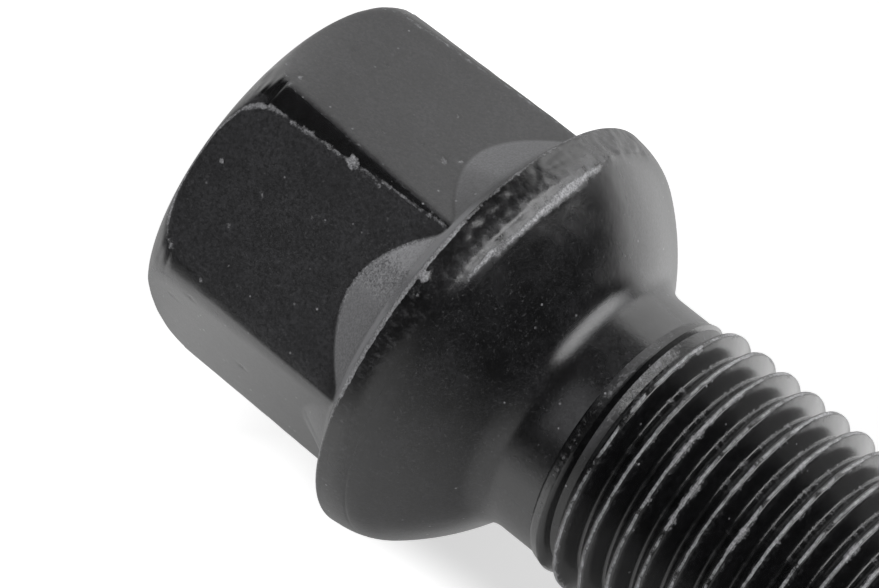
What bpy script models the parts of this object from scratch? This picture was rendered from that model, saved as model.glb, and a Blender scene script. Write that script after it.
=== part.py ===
"""Wheel bolt with a hexagon head and a ball seat.

The bolt stands on its head. Its axis is +Z, the head's flat top face lies at z = 0 and the thread's
tip is uppermost. Lengths are in metres. The whole bolt is forged and rolled from one piece of steel.
"""

from math import atan2, cos, hypot, pi, radians, sin, sqrt, tan

import bmesh
import bpy
from mathutils import Matrix, Vector

MM = 0.001

# Hexagon head
ACROSS_FLATS = 17.0 * MM
HEAD_HEIGHT = 13.0 * MM
CROWN_RADIUS = 1.8 * MM
CORNER_TAPER = radians(1.9)

# Collar between the head and the seat
RIM_DIAMETER = 22.2 * MM
RIM_SLOPE = radians(62.0)
ARCH_SLOPE = radians(25.0)
BAND_HEIGHT = 1.55 * MM
BAND_ROUNDING = 0.6 * MM

# The knee in the collar's top and its rounding, as shares of the ledge from a flat out to the rim
KNEE_SHARE = 0.41
KNEE_ROUNDING_SHARE = 0.46

# Ball seat, with the angle from the axis at which its wide end meets the collar's band
SEAT_RADIUS = 13.0 * MM
SEAT_WIDE_ANGLE = radians(57.2)
SEAT_FILLET = 1.8 * MM

# Shank
NECK_DIAMETER = 13.0 * MM
NECK_LENGTH = 1.85 * MM
SHANK_LENGTH = 27.0 * MM

# Metric thread M14 x 1.5, right-handed
CREST_DIAMETER = 13.92 * MM
PITCH = 1.5 * MM
FLANK_ANGLE = radians(30.0)
RUN_OUT_SLOPE = radians(16.0)
START_ANGLE = radians(-151.0)
LEAD_IN = 1.4 * MM
TIP_CHAMFER = 1.31 * MM

# Depth of the thread and width of its crest, as shares of the pitch
DEPTH_SHARE = 0.587
CREST_SHARE = 0.187

# Fineness
BODY_STEPS = 48
THREAD_STEPS = 36
ARC_STEP = radians(9.0)
SHARP_ANGLE = radians(20.0)

# Corners closer than this are one
MERGE_DISTANCE = 0.001 * MM

# How far one shape reaches into the next where the two are joined
OVERLAP = 0.3 * MM

# Black coating
BLACK_COATING = (0.030, 0.030, 0.032, 1.0)

# Sizes that follow from those above
RIM_Z = HEAD_HEIGHT
BAND_FOOT_Z = RIM_Z + BAND_HEIGHT
BAND_FOOT_RADIUS = SEAT_RADIUS * sin(SEAT_WIDE_ANGLE)
SEAT_CENTRE_Z = BAND_FOOT_Z - SEAT_RADIUS * cos(SEAT_WIDE_ANGLE)
FILLET_CENTRE_RADIUS = NECK_DIAMETER / 2 + SEAT_FILLET
FILLET_CENTRE_Z = SEAT_CENTRE_Z + sqrt((SEAT_RADIUS + SEAT_FILLET) ** 2 - FILLET_CENTRE_RADIUS**2)
SEAT_END_ANGLE = atan2(FILLET_CENTRE_RADIUS, FILLET_CENTRE_Z - SEAT_CENTRE_Z)
SEAT_END_Z = SEAT_CENTRE_Z + SEAT_RADIUS * cos(SEAT_END_ANGLE)
TIP_Z = SEAT_END_Z + SHANK_LENGTH
RUN_OUT_Z = FILLET_CENTRE_Z + NECK_LENGTH
CREST_RADIUS = CREST_DIAMETER / 2
ROOT_RADIUS = CREST_RADIUS - DEPTH_SHARE * PITCH


def arc(centre, radius, start, end):
    """Points (radius, z) of an arc from angle start to angle end, its ends included."""
    count = max(2, round(abs(end - start) / ARC_STEP))
    angles = [start + (end - start) * step / count for step in range(count + 1)]
    return [(centre[0] + radius * cos(angle), centre[1] + radius * sin(angle)) for angle in angles]


def rounded_corner(before, corner, after, radius):
    """Points of the arc that touches both lines of a corner."""
    origin = Vector(corner)
    first = (Vector(before) - origin).normalized()
    second = (Vector(after) - origin).normalized()
    half_angle = first.angle(second) / 2
    middle = (first + second).normalized()
    centre = origin + middle * (radius / sin(half_angle))
    start = origin + first * (radius / tan(half_angle)) - centre
    end = origin + second * (radius / tan(half_angle)) - centre
    start_angle = atan2(start.y, start.x)
    turn = (atan2(end.y, end.x) - start_angle + pi) % (2 * pi) - pi
    return arc(centre, radius, start_angle, start_angle + turn)


def new_collection(name):
    """An empty collection in the scene."""
    collection = bpy.data.collections.new(name)
    bpy.context.scene.collection.children.link(collection)
    return collection


def turned(name, collection, profile, steps, start=0.0):
    """A solid turned about Z from a profile of (radius, z) points, listed from the tip end down."""
    mesh = bpy.data.meshes.new(name)
    points = [(radius * cos(start), radius * sin(start), z) for radius, z in profile]
    edges = [(index, index + 1) for index in range(len(points) - 1)]
    mesh.from_pydata(points, edges, [])
    piece = bpy.data.objects.new(name, mesh)
    collection.objects.link(piece)
    screw = piece.modifiers.new("turn", "SCREW")
    screw.axis = "Z"
    screw.angle = 2 * pi
    screw.steps = steps
    screw.render_steps = steps
    screw.use_merge_vertices = True
    screw.merge_threshold = MERGE_DISTANCE
    screw.use_smooth_shade = True
    return piece


def combine(piece, other, operation):
    """Join another solid to a piece, or cut the piece with it."""
    boolean = piece.modifiers.new(other.name, "BOOLEAN")
    boolean.operation = operation
    boolean.solver = "EXACT"
    boolean.object = other


def prism(name, collection, sides, radius, bottom, top):
    """An upright prism with its corners on a circle, one corner towards +Y."""
    solid = bmesh.new()
    bmesh.ops.create_cone(solid, cap_ends=True, segments=sides, radius1=radius, radius2=radius, depth=top - bottom)
    bmesh.ops.translate(solid, verts=solid.verts, vec=(0.0, 0.0, (bottom + top) / 2))
    mesh = bpy.data.meshes.new(name)
    solid.to_mesh(mesh)
    solid.free()
    piece = bpy.data.objects.new(name, mesh)
    collection.objects.link(piece)
    return piece


def crown_profile():
    """The turned shape that trims the hexagon: a domed crown and corners that fall away towards it."""
    corner_radius = ACROSS_FLATS / sqrt(3)
    fall = HEAD_HEIGHT * tan(CORNER_TAPER)
    crown_radius = corner_radius - fall
    crown = arc((crown_radius - CROWN_RADIUS, CROWN_RADIUS), CROWN_RADIUS, -CORNER_TAPER, -pi / 2)
    foot = (corner_radius, HEAD_HEIGHT)
    return [(0.0, HEAD_HEIGHT), foot] + crown + [(0.0, 0.0)]


def hexagon_head(collection):
    """The hexagon head, trimmed by its crown, which has the middle of a facet at each corner.

    Its foot lies inside the collar.
    """
    foot_z = RIM_Z - OVERLAP
    head = prism("hexagon", collection, 6, ACROSS_FLATS / sqrt(3), -OVERLAP, foot_z)
    crown = turned("crown", collection, crown_profile(), BODY_STEPS, pi / BODY_STEPS)
    combine(head, crown, "INTERSECT")
    return head


def body_profile():
    """Collar, ball seat and neck, from the end that lies inside the thread down to the head."""
    neck_radius = NECK_DIAMETER / 2
    rim_radius = RIM_DIAMETER / 2
    core_inside = min(ROOT_RADIUS, neck_radius) - OVERLAP
    neck_end_z = RUN_OUT_Z + OVERLAP
    neck_cone_z = neck_end_z + (neck_radius - core_inside) / tan(RUN_OUT_SLOPE)
    inside = [(0.0, neck_cone_z), (core_inside, neck_cone_z)]
    neck = [(neck_radius, neck_end_z)]

    fillet_centre = (FILLET_CENTRE_RADIUS, FILLET_CENTRE_Z)
    fillet = arc(fillet_centre, SEAT_FILLET, pi, pi + pi / 2 - SEAT_END_ANGLE)

    band_foot = (BAND_FOOT_RADIUS, BAND_FOOT_Z)
    foot_angle = pi / 2 - SEAT_WIDE_ANGLE
    tangent = (band_foot[0] - sin(foot_angle) * SEAT_RADIUS, band_foot[1] + cos(foot_angle) * SEAT_RADIUS)
    rim = (rim_radius, RIM_Z)
    band = rounded_corner(tangent, band_foot, rim, BAND_ROUNDING)
    taper = atan2(rim_radius - BAND_FOOT_RADIUS, BAND_HEIGHT)
    setback = BAND_ROUNDING * tan((foot_angle - taper) / 2) / SEAT_RADIUS
    seat = arc((0.0, SEAT_CENTRE_Z), SEAT_RADIUS, pi / 2 - SEAT_END_ANGLE, foot_angle + setback)

    flat_radius = ACROSS_FLATS / 2
    ledge = rim_radius - flat_radius
    knee_radius = flat_radius + KNEE_SHARE * ledge
    knee = (knee_radius, RIM_Z - (rim_radius - knee_radius) / tan(RIM_SLOPE))
    arch_radius = flat_radius - OVERLAP
    arch_inside = (arch_radius, knee[1] - (knee_radius - arch_radius) / tan(ARCH_SLOPE))
    knee_arc = rounded_corner(rim, knee, arch_inside, KNEE_ROUNDING_SHARE * ledge)
    return inside + neck + fillet + seat[1:-1] + band + [rim] + knee_arc + [arch_inside, (0.0, arch_inside[1])]


def thread_section():
    """One pitch of the thread's outline as (radius, z) points: root, flank, crest, flank."""
    half_crest = CREST_SHARE * PITCH / 2
    half_ridge = half_crest + (CREST_RADIUS - ROOT_RADIUS) * tan(FLANK_ANGLE)
    return [
        (ROOT_RADIUS, half_ridge - PITCH),
        (ROOT_RADIUS, -half_ridge),
        (CREST_RADIUS, -half_crest),
        (CREST_RADIUS, half_crest),
        (ROOT_RADIUS, half_ridge),
    ]


def swept_thread(first_crest_z, last_crest_z):
    """The open helical surface of the thread, one outline carried round and up by a spin."""
    solid = bmesh.new()
    start = Matrix.Rotation(START_ANGLE, 3, "Z")
    points = [start @ Vector((radius, 0.0, first_crest_z + z)) for radius, z in thread_section()]
    corners = [solid.verts.new(point) for point in points]
    edges = [solid.edges.new(pair) for pair in zip(corners, corners[1:])]
    steps = round((last_crest_z - first_crest_z) / PITCH * THREAD_STEPS)
    bmesh.ops.spin(
        solid,
        geom=corners + edges,
        cent=(0.0, 0.0, 0.0),
        axis=(0.0, 0.0, 1.0),
        dvec=(0.0, 0.0, PITCH / THREAD_STEPS),
        angle=2 * pi * steps / THREAD_STEPS,
        steps=steps,
    )
    bmesh.ops.remove_doubles(solid, verts=solid.verts, dist=MERGE_DISTANCE)
    return solid


def trim_thread(solid):
    """Draw the crests in at the run-out cone by the neck and at the chamfer of the tip."""
    inside_neck = NECK_DIAMETER / 2 - OVERLAP
    cone_z = RUN_OUT_Z - OVERLAP / tan(RUN_OUT_SLOPE)
    for corner in solid.verts:
        radius = hypot(corner.co.x, corner.co.y)
        run_out = max(inside_neck, inside_neck + (corner.co.z - cone_z) * tan(RUN_OUT_SLOPE))
        chamfer = CREST_RADIUS - TIP_CHAMFER + TIP_Z - corner.co.z
        corner.co.xy *= min(radius, run_out, chamfer) / radius


def threaded_rod(collection):
    """The threaded length, cut square at the tip and, inside the neck, at its foot."""
    foot_z = RUN_OUT_Z - LEAD_IN
    solid = swept_thread(foot_z - PITCH, TIP_Z + PITCH)
    trim_thread(solid)
    for height, outwards in ((foot_z, -1.0), (TIP_Z, 1.0)):
        bmesh.ops.bisect_plane(
            solid,
            geom=solid.verts[:] + solid.edges[:] + solid.faces[:],
            dist=MERGE_DISTANCE,
            plane_co=(0.0, 0.0, height),
            plane_no=(0.0, 0.0, outwards),
            clear_outer=True,
        )
    bmesh.ops.holes_fill(solid, edges=solid.edges, sides=0)
    bmesh.ops.recalc_face_normals(solid, faces=solid.faces)
    mesh = bpy.data.meshes.new("threaded_rod")
    solid.to_mesh(mesh)
    solid.free()
    rod = bpy.data.objects.new("threaded_rod", mesh)
    collection.objects.link(rod)
    return rod


def coated_steel():
    """Steel with a thin black coating."""
    material = bpy.data.materials.new("black_coated_steel")
    material.use_nodes = True
    shader = material.node_tree.nodes["Principled BSDF"]
    shader.inputs["Base Color"].default_value = BLACK_COATING
    shader.inputs["Metallic"].default_value = 0.0
    shader.inputs["Roughness"].default_value = 0.38
    return material


def shade(piece):
    """Fix the joined shape as a mesh, smooth between its sharp edges."""
    graph = bpy.context.evaluated_depsgraph_get()
    mesh = bpy.data.meshes.new_from_object(piece.evaluated_get(graph))
    mesh.name = piece.name
    mesh.shade_smooth()
    mesh.set_sharp_from_angle(angle=SHARP_ANGLE)
    piece.modifiers.clear()
    piece.data = mesh


def wheel_bolt():
    """The whole bolt: collar, seat and neck turned in one, with the head and the thread joined on."""
    parts = new_collection("wheel_bolt")
    helpers = new_collection("shapes_joined_in")
    bolt = turned("wheel_bolt", parts, body_profile(), BODY_STEPS)
    combine(bolt, hexagon_head(helpers), "UNION")
    combine(bolt, threaded_rod(helpers), "UNION")
    bolt.data.materials.append(coated_steel())
    shade(bolt)
    for helper in helpers.objects:
        helper.hide_render = True
        helper.display_type = "WIRE"


for existing in list(bpy.data.objects):
    bpy.data.objects.remove(existing)
wheel_bolt()
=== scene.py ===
"""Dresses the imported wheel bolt: black-oxide steel, worn bare at its edges, on a white floor.

Lengths are in metres. The bolt stands on its head, its axis is +Z and the head's flat top face lies
at z = 0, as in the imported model. A value named aside is an angle round the axis in degrees, counted
from the side nearest the camera, anticlockwise as seen from the tip. The photograph's left is 90 aside.
"""

from math import atan2, ceil, cos, degrees, hypot, pi, radians, sin, sqrt, tan
from types import SimpleNamespace

import bmesh
import bpy
from bpy.props import FloatProperty, FloatVectorProperty, PointerProperty
from bpy.types import Operator, Panel, PropertyGroup
from mathutils import Matrix, Vector, noise


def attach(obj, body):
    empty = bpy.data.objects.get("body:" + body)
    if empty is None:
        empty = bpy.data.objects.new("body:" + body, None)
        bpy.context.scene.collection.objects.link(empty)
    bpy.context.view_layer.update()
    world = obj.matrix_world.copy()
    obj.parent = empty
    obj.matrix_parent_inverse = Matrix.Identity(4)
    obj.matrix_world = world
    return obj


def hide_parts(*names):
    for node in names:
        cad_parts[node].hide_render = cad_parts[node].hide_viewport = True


bl_info = {
    "name": "Wheel Bolt",
    "version": (1, 0, 0),
    "blender": (4, 5, 0),
    "location": "3D View > Sidebar > Wheel Bolt",
    "description": "Models a worn black wheel bolt and the studio it stands in",
    "category": "Object",
}

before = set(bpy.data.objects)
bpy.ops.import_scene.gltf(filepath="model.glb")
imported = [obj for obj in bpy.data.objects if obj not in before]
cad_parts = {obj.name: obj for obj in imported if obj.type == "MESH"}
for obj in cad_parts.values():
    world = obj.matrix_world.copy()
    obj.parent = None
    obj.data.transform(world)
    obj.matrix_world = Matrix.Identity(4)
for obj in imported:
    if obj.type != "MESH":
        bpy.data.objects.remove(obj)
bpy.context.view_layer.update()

MM = 0.001

# The camera's place, lens and turn, from the photograph's perspective
CAMERA_PLACE = Vector((127.294, -465.694, 183.313)) * MM
LENS_LENGTH = 462.2
NEAR_TURN = radians(-74.717)
AXIS_TURN = radians(38.505)
AXIS_TILT = radians(19.699)

# Steps round the axis, as many as keep each piece under 200,000 triangles
BODY_STEPS = 576
THREAD_STEPS = 210


def linear(hex_colour):
    """The linear colour of an sRGB hex value."""
    channels = [int(hex_colour[place : place + 2], 16) / 255 for place in (1, 3, 5)]
    return [c / 12.92 if c <= 0.04045 else ((c + 0.055) / 1.055) ** 2.4 for c in channels]


def mm(*lengths):
    """Several lengths in millimetres, as metres."""
    return tuple(length * MM for length in lengths)


def length_setting(name, description, default):
    """A length property whose default is given in millimetres."""
    return FloatProperty(
        name=name, description=description, default=default * MM, unit="LENGTH", subtype="DISTANCE"
    )


def angle_setting(name, description, default):
    """An angle property whose default is given in degrees."""
    return FloatProperty(
        name=name, description=description, default=radians(default), unit="ROTATION", subtype="ANGLE"
    )


def share_setting(name, description, default):
    """A property between 0 and 1."""
    return FloatProperty(
        name=name, description=description, default=default, min=0.0, max=1.0, subtype="FACTOR"
    )


def colour_setting(name, description, default):
    """A colour property whose default is an sRGB hex value."""
    return FloatVectorProperty(
        name=name, description=description, default=linear(default), min=0.0, max=1.0, subtype="COLOR"
    )


class WheelBoltHeadSizes(PropertyGroup):
    """Sizes of the hexagon, collar, ball seat and neck"""

    across_flats: length_setting("Across Flats", "Width of the hexagon between two opposite flats", 17.0)
    head_height: length_setting("Head Height", "From the top face to the collar's rim", 13.0)
    crown_radius: length_setting("Crown Radius", "Rounding of the head's top edge", 1.8)
    corner_taper: angle_setting("Corner Taper", "How far the corners fall away towards the top", 1.9)
    rim_diameter: length_setting("Rim Diameter", "Largest width of the collar", 22.2)
    rim_slope: angle_setting("Rim Slope", "Angle between the axis and the top of the collar", 62.0)
    arch_slope: angle_setting("Arch Slope", "Angle between the axis and the blend into the flats", 25.0)
    knee_share: share_setting("Knee", "Where the blend bends, as a share of the collar's ledge", 0.41)
    band_height: length_setting("Band Height", "From the rim to the ball seat", 1.55)
    band_rounding: length_setting("Band Rounding", "Rounding between the band and the ball seat", 0.6)
    seat_radius: length_setting("Seat Radius", "Radius of the ball seat", 13.0)
    seat_wide_angle: angle_setting("Seat Wide Angle", "Angle from the axis at the seat's wide end", 57.2)
    seat_fillet: length_setting("Seat Fillet", "Hollow rounding between the seat and the neck", 1.8)
    neck_diameter: length_setting("Neck Diameter", "Width of the plain neck", 13.0)
    neck_length: length_setting("Neck Length", "Plain length above the fillet", 1.85)
    edge_width: length_setting("Edge Width", "How wide the hexagon's edges are rounded", 0.17)


class WheelBoltThreadSizes(PropertyGroup):
    """Sizes of the threaded shank"""

    shank_length: length_setting("Shank Length", "From the seat's small end to the tip", 27.0)
    crest_diameter: length_setting("Crest Diameter", "Width over the thread's crests", 13.92)
    pitch: length_setting("Pitch", "Rise of the thread in one turn", 1.5)
    depth_share: share_setting("Depth", "Depth of the thread as a share of the pitch", 0.587)
    crest_share: share_setting("Crest", "Width of the crest as a share of the pitch", 0.187)
    flank_angle: angle_setting("Flank Angle", "Slope of each flank", 30.0)
    run_out_slope: angle_setting("Run-out Slope", "Slope at which the thread rises from the neck", 16.0)
    start_angle: angle_setting("Start Angle", "Where the thread starts round the axis", -151.0)
    tip_chamfer: length_setting("Tip Chamfer", "Depth of the chamfer at the tip", 1.31)


class WheelBoltFinish(PropertyGroup):
    """Colours of the bolt and the floor"""

    coating: colour_setting("Coating", "Black oxide in the open", "#28282A")
    # The soot colour also draws the painted shade on the hexagon's corner faces and the ball seat
    soot_and_shade: colour_setting("Soot", "Black oxide along the hexagon's corners", "#0B0B0C")
    bare_steel: colour_setting("Bare Steel", "Steel where the coating is worn away", "#A9A9AC")
    floor: colour_setting("Floor", "Paper that the bolt stands on", "#F2F2F2")


def settings():
    """The three groups of values in the scene."""
    scene = bpy.context.scene
    return scene.wheel_bolt_head, scene.wheel_bolt_thread, scene.wheel_bolt_finish


def ramp(value, low, high):
    """0 below low, 1 above high, and smooth between."""
    part = min(max((value - low) / (high - low), 0.0), 1.0)
    return part * part * (3 - 2 * part)


def span(value, rise, full, fade, end):
    """0 outside rise and end, 1 between full and fade, and smooth between."""
    return ramp(value, rise, full) * (1 - ramp(value, fade, end))


def smooth_lower(first, second, width):
    """The lower of two values, rounded where they are closer than width."""
    near = max(width - abs(first - second), 0.0) / width
    return min(first, second) - near * near * width / 4


def smooth_upper(first, second, width):
    """The higher of two values, rounded where they are closer than width."""
    return -smooth_lower(-first, -second, width)


def round_axis(place):
    """A place's distance from the axis, its turn round it in radians, and where it lies aside."""
    turn = atan2(place.y, place.x)
    return hypot(place.x, place.y), turn, degrees((turn - NEAR_TURN + pi) % (2 * pi) - pi)


def turn_between(first, second):
    """The angle between two directions round the axis."""
    return abs((first - second + pi) % (2 * pi) - pi)


# Steps of arcs: roundings by default, crown, rim, ball seat, fillet, thread roots and thread crests
ARC_STEP, CROWN_STEP, RIM_STEP, SEAT_STEP, FILLET_STEP, ROOT_STEP, CREST_STEP = (
    radians(step) for step in (4.0, 3.0, 14.0, 1.1, 6.0, 15.0, 20.0)
)


def arc(centre, radius, start, end, step=ARC_STEP):
    """Points (radius, z) of an arc from angle start to angle end, its ends included."""
    count = max(2, round(abs(end - start) / step))
    angles = [start + (end - start) * index / count for index in range(count + 1)]
    return [(centre[0] + radius * cos(turn), centre[1] + radius * sin(turn)) for turn in angles]


def rounded_corner(before, corner, after, radius, step=ARC_STEP):
    """Points of the arc that touches both lines of a corner."""
    origin = Vector(corner)
    first = (Vector(before) - origin).normalized()
    second = (Vector(after) - origin).normalized()
    half_angle = first.angle(second) / 2
    centre = origin + (first + second).normalized() * (radius / sin(half_angle))
    start = origin + first * (radius / tan(half_angle)) - centre
    end = origin + second * (radius / tan(half_angle)) - centre
    start_angle = atan2(start.y, start.x)
    turn = (atan2(end.y, end.x) - start_angle + pi) % (2 * pi) - pi
    return arc(centre, radius, start_angle, start_angle + turn, step)


def spaced(start, end, step):
    """Heights from start up to end, end left out, about a step apart."""
    count = max(1, round((end - start) / step))
    return [start + (end - start) * index / count for index in range(count)]


def between(start, end, step):
    """Points on the straight line from start to end, both left out, about a step apart."""
    count = max(1, round(hypot(end[0] - start[0], end[1] - start[1]) / step))
    return [
        (start[0] + (end[0] - start[0]) * index / count, start[1] + (end[1] - start[1]) * index / count)
        for index in range(1, count)
    ]


# How far the head's cone and the foot of the thread pass each other out of sight
OVERLAP = 0.3 * MM

# Lengths closer than this are the same
SAME = 0.0001 * MM


def places(head, thread):
    """The places that follow from the sizes."""
    at = SimpleNamespace()
    at.flat = head.across_flats / 2
    at.corner = head.across_flats / sqrt(3)
    at.crown = at.corner - head.head_height * tan(head.corner_taper)
    at.top = at.crown - head.crown_radius
    at.rim = head.rim_diameter / 2
    at.rim_z = head.head_height
    at.knee = at.flat + head.knee_share * (at.rim - at.flat)
    at.knee_z = at.rim_z - (at.rim - at.knee) / tan(head.rim_slope)
    at.arch_z = at.knee_z - (at.knee - at.flat) / tan(head.arch_slope)
    at.band_foot = head.seat_radius * sin(head.seat_wide_angle)
    at.band_foot_z = at.rim_z + head.band_height
    at.seat_z = at.band_foot_z - head.seat_radius * cos(head.seat_wide_angle)
    at.neck = head.neck_diameter / 2
    at.fillet = at.neck + head.seat_fillet
    at.fillet_z = at.seat_z + sqrt((head.seat_radius + head.seat_fillet) ** 2 - at.fillet**2)
    at.seat_end = atan2(at.fillet, at.fillet_z - at.seat_z)
    at.tip_z = at.seat_z + head.seat_radius * cos(at.seat_end) + thread.shank_length
    at.run_out_z = at.fillet_z + head.neck_length
    at.neck_end_z = at.run_out_z + OVERLAP
    at.crest = thread.crest_diameter / 2
    at.root = at.crest - thread.depth_share * thread.pitch
    return at


# Rings on the flat top face, as shares of its radius, and the rows along the flats, arches, band and neck
TOP_RINGS = (0.0, 0.6, 0.93)
FLAT_ROW, ARCH_ROW, BAND_ROW, NECK_ROW = mm(0.26, 0.075, 0.12, 0.3)

# The close rows of the arches start this much nearer the top face than the arches do
ARCH_MARGIN = 0.3 * MM

RIM_ROUNDING, NECK_ROUNDING = mm(0.2, 0.25)


def head_profile(head, thread, at):
    """The bolt's outline as (radius, z) from the top face to inside the thread, and where its rim starts.

    Up to the rim the radius is only a rough one, which shape_head replaces.
    """
    outline = [(ring * at.top, 0.0) for ring in TOP_RINGS]
    outline += arc((at.top, head.crown_radius), head.crown_radius, -pi / 2, 0.0, CROWN_STEP)[:-1]
    rim_corner = (at.rim, at.rim_z)
    band_foot = (at.band_foot, at.band_foot_z)
    rim = rounded_corner((at.knee, at.knee_z), rim_corner, band_foot, RIM_ROUNDING, RIM_STEP)
    rim_start = rim[0][1]
    arch_start = at.arch_z - ARCH_MARGIN
    outline += [(at.crown, z) for z in spaced(head.crown_radius, arch_start, FLAT_ROW)]
    outline += [(at.crown, z) for z in spaced(arch_start, rim_start, ARCH_ROW)]
    outline += rim
    seat_way = Vector((-cos(head.seat_wide_angle), sin(head.seat_wide_angle)))
    band = rounded_corner(rim_corner, band_foot, Vector(band_foot) + seat_way, head.band_rounding)
    outline += between(rim[-1], band[0], BAND_ROW) + band
    seat_start = atan2(band[-1][1] - at.seat_z, band[-1][0])
    outline += arc((0.0, at.seat_z), head.seat_radius, seat_start, pi / 2 - at.seat_end, SEAT_STEP)[1:-1]
    outline += arc((at.fillet, at.fillet_z), head.seat_fillet, 1.5 * pi - at.seat_end, pi, FILLET_STEP)
    fillet_end = (at.neck, at.fillet_z)
    neck_end = (at.neck, at.neck_end_z)
    inside = at.root - OVERLAP
    cone_end = (inside, at.neck_end_z + (at.neck - inside) / tan(thread.run_out_slope))
    outline += between(fillet_end, neck_end, NECK_ROW)
    outline += rounded_corner(fillet_end, neck_end, cone_end, NECK_ROUNDING)
    outline += [cone_end, (0.0, cone_end[1])]
    return outline, rim_start


def spun(solid, corners, turn, rise, steps, copies):
    """Carry a chain of points round the axis and up, then repeat what that makes.

    The repeat is quicker than one spin all the way.
    """
    edges = [solid.edges.new(pair) for pair in zip(corners, corners[1:])]
    about = {"cent": (0.0, 0.0, 0.0), "axis": (0.0, 0.0, 1.0)}
    bmesh.ops.spin(
        solid, geom=corners + edges, angle=turn, dvec=(0.0, 0.0, rise / steps), steps=steps, **about
    )
    first = solid.verts[:] + solid.edges[:] + solid.faces[:]
    bmesh.ops.spin(
        solid,
        geom=first,
        angle=turn * copies,
        dvec=(0.0, 0.0, rise),
        steps=copies,
        use_duplicate=True,
        **about,
    )
    bmesh.ops.remove_doubles(solid, verts=solid.verts, dist=0.0005 * MM)


def turned(outline):
    """A closed shape turned about Z from an outline of (radius, z) points with both ends on the axis."""
    solid = bmesh.new()
    corners = [solid.verts.new((radius, 0.0, z)) for radius, z in outline]
    spun(solid, corners, pi / 3, 0.0, BODY_STEPS // 6, 5)
    return solid


# What the surface notes at each point: bare steel with painted highlights, black soot with painted shade,
# scuffs with painted highlight lines, and rubbed coat with painted sheen
FINISH_LAYERS = ("wear_and_highlight", "soot_and_shade", "scuff_and_highlight", "polish_and_sheen")

# How worn each flat's crown line is, and its two upright edges, clockwise one first. The flats are counted
# from the one that faces +X, anticlockwise seen from the tip, and each corner has the number of the flat
# before it. How dark each corner's cut-off face is drawn is painted shade. Corner rounding is a multiple of
# the edge width.
CROWN_WEAR = (0.6, 0.55, 0.6, 0.55, 0.4, 0.95)
CORNER_WEAR = ((0.3, 0.4), (0.5, 0.6), (0.4, 0.5), (0.6, 0.4), (0.5, 0.25), (0.54, 0.08))
CORNER_SHADE = (0.5, 0.7, 0.6, 0.8, 1.0, 0.3)
CORNER_ROUNDING = (1.4, 1.0, 1.6, 1.2, 1.0, 2.2)

# The flat that faces the camera, and the corner above it in the photograph, where the forging has folded
FRONT_FLAT = 5
FOLDED_CORNER = 4

# How much lighter grey a flat's arch is drawn, how much more in a stretch aside, and where that stretch sets
# in, is full, fades and ends. Flats that aren't named have a plain arch.
PLAIN_ARCH = (0.4, 0.0, (0.0, 1.0, 1.0, 2.0))
ARCH_LIGHTENING = {
    0: (0.15, 0.5, (67.5, 69.5, 71.0, 73.0)),
    4: (0.6, -0.25, (-40.0, -33.0, 180.0, 181.0)),
    5: (0.75, 0.4, (-25.0, -15.0, 5.0, 16.0)),
}
# How light the lit stretch of the ledge is drawn, painted light on a face in shade, and how much lighter the
# front flat is drawn
LEDGE_LIGHTENING = 1.6
FRONT_FLAT_LIGHTENING = 0.05

# Stretches aside of the worn rim, the worn seams, an arch's painted glint and the ledge's painted light:
# where each sets in, is full, fades and ends. Between the last two values the front flat's edges turn less
# worn.
RIM_WORN = (-20.0, -11.0, 28.0, 38.0)
SEAM_WORN = (-30.0, -4.0, 14.0, 40.0)
ARCH_GLINT = (-4.0, 3.0, 9.0, 16.0)
LEDGE_LIT_STRETCH = (-30.0, -15.0, 30.0, 45.0)
LESS_WORN = (30.0, 42.0)

# The forging's folds by the crown's corners: angles from the middle of a flat, heights and forms
FOLD_ANGLES = (radians(22.0), radians(27.0))
FOLD_HEIGHTS = mm(1.5, 2.4)
FOLD_DEPTH = 0.09 * MM
FOLDS_PER_RADIAN = 7.0
FOLD_PITCH = 0.22 * MM

# The grit of the forged surface: sizes of its fine and coarse bumps, and its depth
GRIT_SIZES = mm(0.75, 2.4)
GRIT_DEPTH = 0.04 * MM

# Roundings where the arch meets the ledge and where the collar meets the hexagon, and half the width of
# a worn edge
KNEE_ROUNDING, COLLAR_ROUNDING, EDGE_WEAR = mm(0.4, 0.1, 0.13)

# Angles from the middle of a flat between which a corner's own rounding takes over
OWN_ROUNDING = (radians(10.0), radians(20.0))

# How far the corner faces' painted shade reaches onto a flat from its clockwise and its anticlockwise corner,
# and its soft end
SHADE_REACH = (radians(1.5), radians(7.5))
SHADE_FADE = radians(2.0)


def crown_at(head, at, z):
    """The radius of the cone that cuts the hexagon's corners back, rounded off into the top face."""
    if z >= head.crown_radius:
        return at.corner - (head.head_height - z) * tan(head.corner_taper)
    drop = head.crown_radius - z
    return at.top + sqrt(max(head.crown_radius**2 - drop**2, 0.0))


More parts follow.
